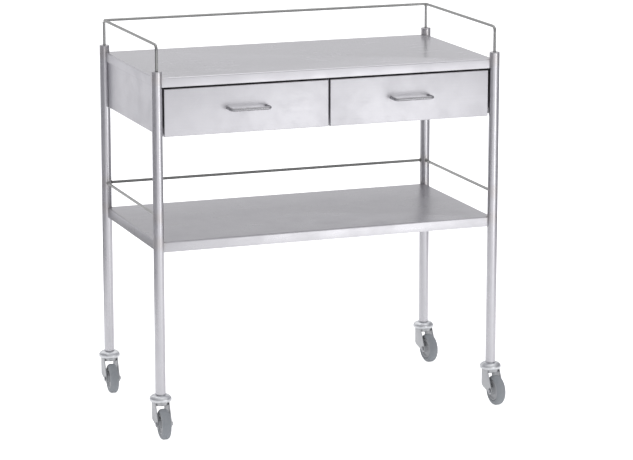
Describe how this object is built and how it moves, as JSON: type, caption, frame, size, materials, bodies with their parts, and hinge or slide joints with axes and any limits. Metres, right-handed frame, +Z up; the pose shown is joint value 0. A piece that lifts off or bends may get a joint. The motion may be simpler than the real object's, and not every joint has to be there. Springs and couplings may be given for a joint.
{
  "type": "instrument cart",
  "caption": "Steel instrument cart with two shelves between tube legs, a bent guard rail, two drawers side by side under the top, and swivel casters.",
  "frame": {"origin": "on the floor, under the middle of the outer box at rest", "axes": "+Z up, +X to the right seen from the front, -Y towards the front, where the drawers open"},
  "size_m": [0.9286, 0.5412, 0.9639],
  "materials": {
    "brushed_sheet": "fine brushed stainless sheet",
    "polished_tube": "polished stainless tube",
    "polished_rod": "polished stainless rod",
    "inner_sheet": "plain stainless sheet",
    "rail_steel": "zinc-plated drawer rail",
    "plated_steel": "bright plated pressing",
    "fastener_steel": "plain steel",
    "hub_plastic": "moulded grey plastic",
    "grey_rubber": "satin grey rubber"
  },
  "bodies": {
    "root": {"leg_front_left": "polished_tube", "leg_cap_front_left": "polished_tube", "caster_mount_front_left": "plated_steel", "leg_front_right": "polished_tube", "leg_cap_front_right": "polished_tube", "caster_mount_front_right": "plated_steel", "leg_back_left": "polished_tube", "leg_cap_back_left": "polished_tube", "caster_mount_back_left": "plated_steel", "leg_back_right": "polished_tube", "leg_cap_back_right": "polished_tube", "caster_mount_back_right": "plated_steel", "top_shelf": "brushed_sheet", "lower_shelf": "brushed_sheet", "top_rail": "polished_rod", "rail_post_left": "polished_rod", "rail_post_right": "polished_rod", "lower_rail_left": "polished_rod", "lower_rail_right": "polished_rod", "lower_rail_back": "polished_rod", "case_side_left": "inner_sheet", "case_side_right": "inner_sheet", "case_back": "inner_sheet", "case_divider": "inner_sheet", "fixed_rail_left_outer": "rail_steel", "fixed_rail_left_inner": "rail_steel", "fixed_rail_right_outer": "rail_steel", "fixed_rail_right_inner": "rail_steel"},
    "drawer_left": {"drawer_front_left": "brushed_sheet", "drawer_handle_left": "polished_rod", "drawer_tray_left": "inner_sheet", "sliding_rail_left_outer": "rail_steel", "sliding_rail_left_inner": "rail_steel", "handle_screw_left_1": "fastener_steel", "handle_screw_left_2": "fastener_steel"},
    "drawer_right": {"drawer_front_right": "brushed_sheet", "drawer_handle_right": "polished_rod", "drawer_tray_right": "inner_sheet", "sliding_rail_right_outer": "rail_steel", "sliding_rail_right_inner": "rail_steel", "handle_screw_right_1": "fastener_steel", "handle_screw_right_2": "fastener_steel"},
    "swivel_front_left": {"caster_fork_front_left": "plated_steel", "caster_axle_front_left": "fastener_steel"},
    "wheel_front_left": {"wheel_tyre_front_left": "grey_rubber", "wheel_hub_front_left": "hub_plastic"},
    "swivel_front_right": {"caster_fork_front_right": "plated_steel", "caster_axle_front_right": "fastener_steel"},
    "wheel_front_right": {"wheel_tyre_front_right": "grey_rubber", "wheel_hub_front_right": "hub_plastic"},
    "swivel_back_left": {"caster_fork_back_left": "plated_steel", "caster_axle_back_left": "fastener_steel"},
    "wheel_back_left": {"wheel_tyre_back_left": "grey_rubber", "wheel_hub_back_left": "hub_plastic"},
    "swivel_back_right": {"caster_fork_back_right": "plated_steel", "caster_axle_back_right": "fastener_steel"},
    "wheel_back_right": {"wheel_tyre_back_right": "grey_rubber", "wheel_hub_back_right": "hub_plastic"}
  },
  "joints": [
    {"name": "drawer_left_slide", "type": "slide", "parent": "root", "child": "drawer_left", "axis": [0, -1, 0], "range_m": [0, 0.3]},
    {"name": "drawer_right_slide", "type": "slide", "parent": "root", "child": "drawer_right", "axis": [0, -1, 0], "range_m": [0, 0.3]},
    {"name": "swivel_front_left_turn", "type": "hinge", "parent": "root", "child": "swivel_front_left", "pos_m": [-0.4373, -0.20105, 0.0884], "axis": [0, 0, 1], "continuous": true},
    {"name": "wheel_front_left_spin", "type": "hinge", "parent": "swivel_front_left", "child": "wheel_front_left", "pos_m": [-0.43898, -0.23301, 0.0375], "axis": [0.9986, -0.0523, 0], "continuous": true},
    {"name": "swivel_front_right_turn", "type": "hinge", "parent": "root", "child": "swivel_front_right", "pos_m": [0.4373, -0.20105, 0.0884], "axis": [0, 0, 1], "continuous": true},
    {"name": "wheel_front_right_spin", "type": "hinge", "parent": "swivel_front_right", "child": "wheel_front_right", "pos_m": [0.43953, -0.23297, 0.0375], "axis": [0.9976, 0.0698, 0], "continuous": true},
    {"name": "swivel_back_left_turn", "type": "hinge", "parent": "root", "child": "swivel_back_left", "pos_m": [-0.4373, 0.24355, 0.0884], "axis": [0, 0, 1], "continuous": true},
    {"name": "wheel_back_left_spin", "type": "hinge", "parent": "swivel_back_left", "child": "wheel_back_left", "pos_m": [-0.43953, 0.21163, 0.0375], "axis": [0.9976, -0.0698, 0], "continuous": true},
    {"name": "swivel_back_right_turn", "type": "hinge", "parent": "root", "child": "swivel_back_right", "pos_m": [0.4373, 0.24355, 0.0884], "axis": [0, 0, 1], "continuous": true},
    {"name": "wheel_back_right_spin", "type": "hinge", "parent": "swivel_back_right", "child": "wheel_back_right", "pos_m": [0.44037, 0.2117, 0.0375], "axis": [0.9954, 0.0958, 0], "continuous": true}
  ]
}
